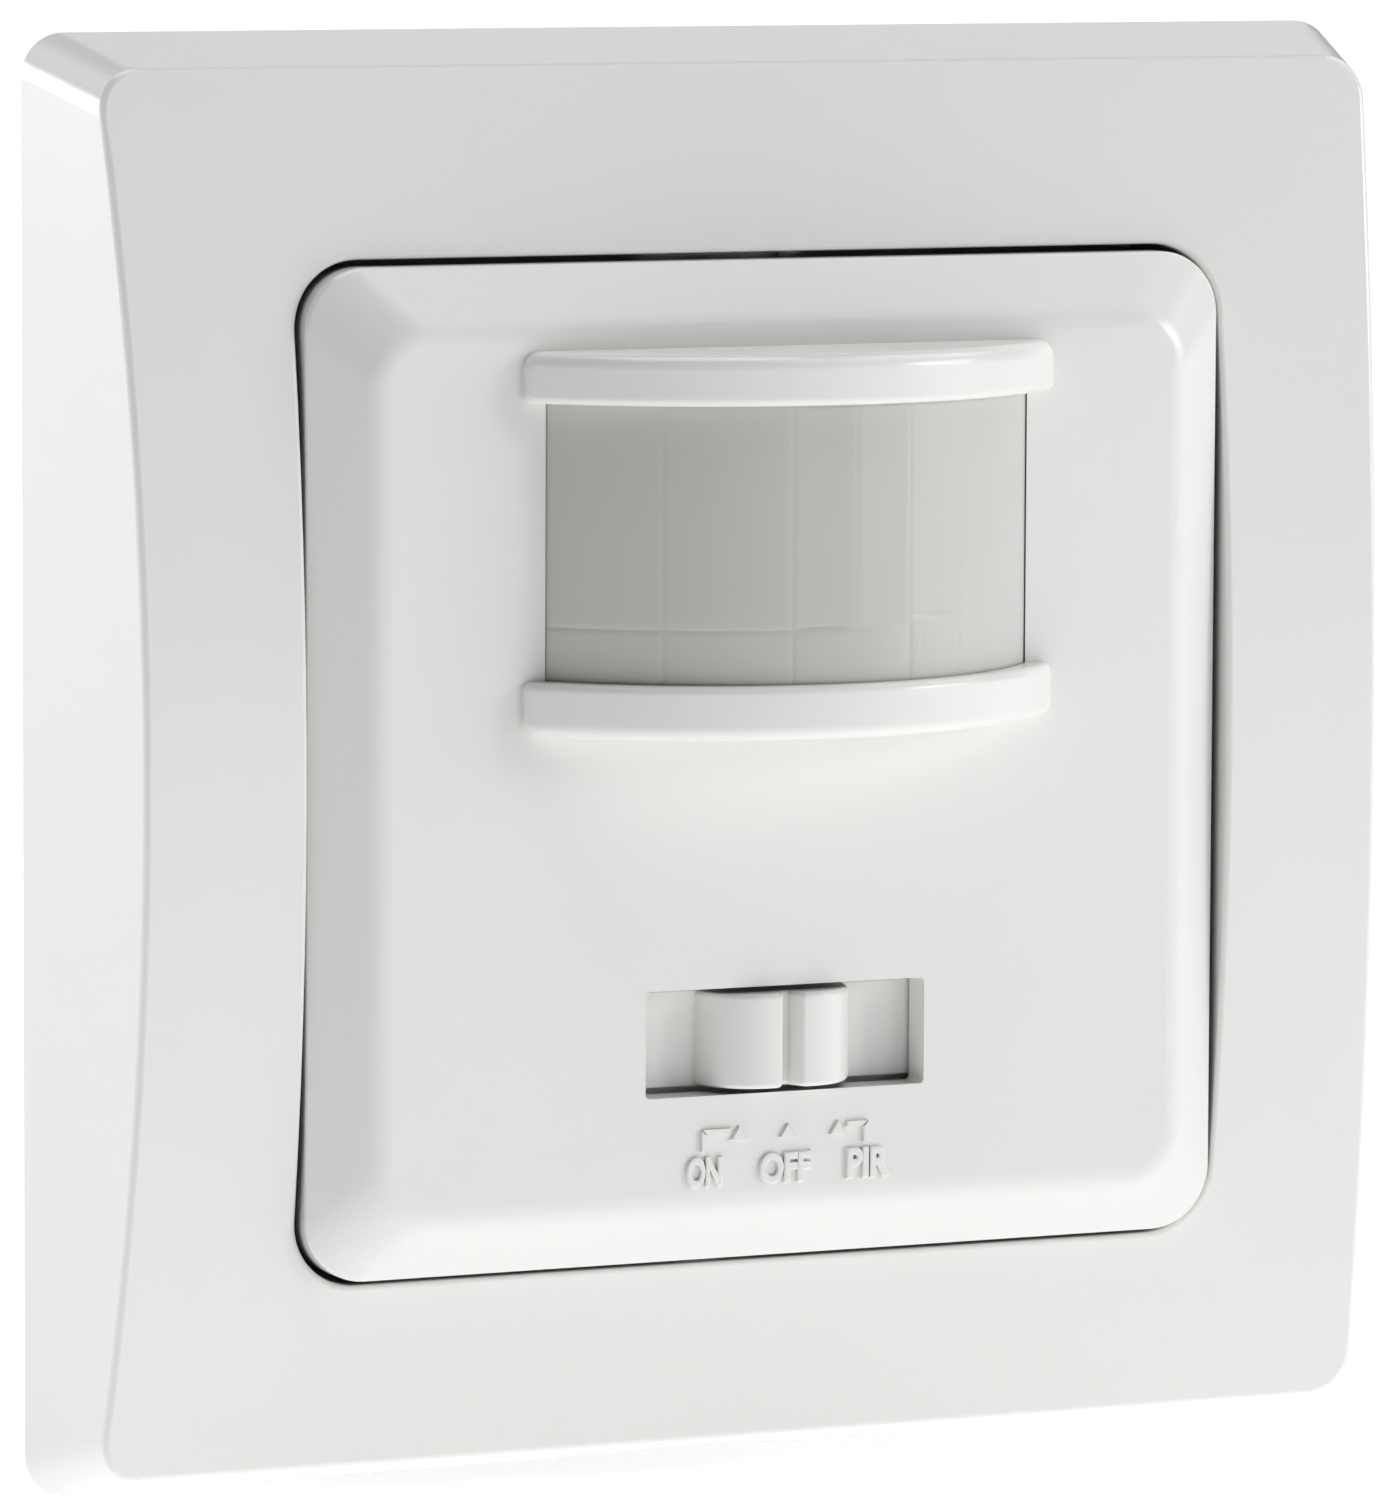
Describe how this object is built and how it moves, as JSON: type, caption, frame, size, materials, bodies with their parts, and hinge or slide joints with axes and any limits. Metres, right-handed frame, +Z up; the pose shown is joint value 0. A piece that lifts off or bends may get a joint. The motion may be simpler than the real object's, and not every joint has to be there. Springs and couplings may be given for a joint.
{
  "type": "motion sensor light switch",
  "caption": "Flush wall switch with a curved infrared sensor lens between two arched brows and a three-place slide knob, in a square arched cover frame.",
  "frame": {"origin": "middle of the two box-screw holes, on the wall surface (back of the steel plate)", "axes": "+Z up on the wall, -Y out of the wall towards the user, +X to the user's right"},
  "size_m": [0.08, 0.0493, 0.08],
  "materials": {
    "cover_plastic": "glossy moulded white",
    "knob_plastic": "glossy moulded white",
    "lens_film": "milky infrared-clear sheet, satin outside",
    "inner_plastic": "satin moulded white",
    "housing_plastic": "fine matt moulded grey",
    "zinc_steel": "zinc-plated sheet",
    "screw_steel": "zinc-plated, turned",
    "tin_plate": "tinned thin sheet",
    "switch_base": "pressed phenolic sheet",
    "dark_plastic": "matt black moulding",
    "circuit_board": "green lacquered laminate",
    "spacer_plastic": "natural nylon",
    "contact_brass": "plain brass",
    "infrared_filter": "dark polished filter",
    "photocell": "resin-coated ceramic",
    "trimmer_body": "satin blue moulding",
    "trimmer_rotor": "satin ivory moulding",
    "relay_case": "smooth dark blue moulding",
    "capacitor_box": "satin yellow box",
    "capacitor_sleeve": "shrunk dark sleeve",
    "resistor_body": "lacquered",
    "varistor_body": "dipped lacquer",
    "terminal_plastic": "satin green moulding"
  },
  "bodies": {
    "device": {"board_spacers": "spacer_plastic", "bridge_rectifier": "dark_plastic", "centre_plate": "cover_plastic", "comparator_chip": "dark_plastic", "contact_bars": "contact_brass", "film_capacitor": "capacitor_box", "fresnel_lens": "lens_film", "front_frame": "cover_plastic", "fusible_resistor": "resistor_body", "header_body": "dark_plastic", "header_pins": "contact_brass", "housing_front": "inner_plastic", "housing_screws": "screw_steel", "lens_retainer": "inner_plastic", "light_trimmer_body": "trimmer_body", "photocell": "photocell", "pir_base": "tin_plate", "pir_can": "tin_plate", "pir_window": "infrared_filter", "power_board": "circuit_board", "rear_housing": "housing_plastic", "regulator": "dark_plastic", "relay": "relay_case", "resistors": "resistor_body", "sensor_board": "circuit_board", "smoothing_capacitor": "capacitor_sleeve", "support_plate": "zinc_steel", "switch_base": "switch_base", "switch_can": "tin_plate", "switch_pins": "tin_plate", "terminal_block": "terminal_plastic", "time_trimmer_body": "trimmer_body", "varistor": "varistor_body"},
    "slider": {"slider_knob": "knob_plastic", "switch_lever": "dark_plastic"},
    "time_rotor": {"time_trimmer_rotor": "trimmer_rotor"},
    "light_rotor": {"light_trimmer_rotor": "trimmer_rotor"},
    "left_claw": {"claw_left": "zinc_steel"},
    "right_claw": {"claw_right": "zinc_steel"},
    "left_claw_screw": {"claw_screw_left": "screw_steel"},
    "right_claw_screw": {"claw_screw_right": "screw_steel"},
    "line_clamp": {"terminal_cage_line": "zinc_steel"},
    "line_terminal_screw": {"terminal_screw_line": "screw_steel"},
    "neutral_clamp": {"terminal_cage_neutral": "zinc_steel"},
    "neutral_terminal_screw": {"terminal_screw_neutral": "screw_steel"},
    "load_clamp": {"terminal_cage_load": "zinc_steel"},
    "load_terminal_screw": {"terminal_screw_load": "screw_steel"}
  },
  "joints": [
    {"name": "slider_slide", "type": "slide", "parent": "device", "child": "slider", "axis": [1, 0, 0], "range_m": [-0.0037, 0.0037]},
    {"name": "time_trimmer_turn", "type": "hinge", "parent": "device", "child": "time_rotor", "pos_m": [-0.0126, 0, -0.0034], "axis": [0, 1, 0], "range_deg": [-135, 135]},
    {"name": "light_trimmer_turn", "type": "hinge", "parent": "device", "child": "light_rotor", "pos_m": [0.0126, 0, -0.0034], "axis": [0, 1, 0], "range_deg": [-135, 135]},
    {"name": "left_claw_screw_turn", "type": "hinge", "parent": "device", "child": "left_claw_screw", "pos_m": [-0.0242, 0, 0], "axis": [0, 1, 0], "range_deg": [0, 720]},
    {"name": "left_claw_swing", "type": "hinge", "parent": "device", "child": "left_claw", "pos_m": [-0.021, 0.014, 0], "axis": [0, 0, 1], "range_deg": [0, 22]},
    {"name": "right_claw_screw_turn", "type": "hinge", "parent": "device", "child": "right_claw_screw", "pos_m": [0.0242, 0, 0], "axis": [0, 1, 0], "range_deg": [0, 720]},
    {"name": "right_claw_swing", "type": "hinge", "parent": "device", "child": "right_claw", "pos_m": [0.021, 0.014, 0], "axis": [0, 0, -1], "range_deg": [0, 22]},
    {"name": "line_terminal_screw_turn", "type": "hinge", "parent": "device", "child": "line_terminal_screw", "pos_m": [-0.0065, 0.025, -0.0169], "axis": [0, -1, 0], "range_deg": [0, 1260]},
    {"name": "line_clamp_rise", "type": "slide", "parent": "device", "child": "line_clamp", "axis": [0, 1, 0], "range_m": [0, 0.0021]},
    {"name": "neutral_terminal_screw_turn", "type": "hinge", "parent": "device", "child": "neutral_terminal_screw", "pos_m": [0, 0.025, -0.0169], "axis": [0, -1, 0], "range_deg": [0, 1260]},
    {"name": "neutral_clamp_rise", "type": "slide", "parent": "device", "child": "neutral_clamp", "axis": [0, 1, 0], "range_m": [0, 0.0021]},
    {"name": "load_terminal_screw_turn", "type": "hinge", "parent": "device", "child": "load_terminal_screw", "pos_m": [0.0065, 0.025, -0.0169], "axis": [0, -1, 0], "range_deg": [0, 1260]},
    {"name": "load_clamp_rise", "type": "slide", "parent": "device", "child": "load_clamp", "axis": [0, 1, 0], "range_m": [0, 0.0021]}
  ],
  "couplings": [
    {"joint": "left_claw_swing", "follows": "left_claw_screw_turn", "ratio": 0.030556},
    {"joint": "right_claw_swing", "follows": "right_claw_screw_turn", "ratio": 0.030556},
    {"joint": "line_terminal_screw_turn", "follows": "line_clamp_rise", "rad_per_m": 10471},
    {"joint": "neutral_terminal_screw_turn", "follows": "neutral_clamp_rise", "rad_per_m": 10471},
    {"joint": "load_terminal_screw_turn", "follows": "load_clamp_rise", "rad_per_m": 10471}
  ]
}
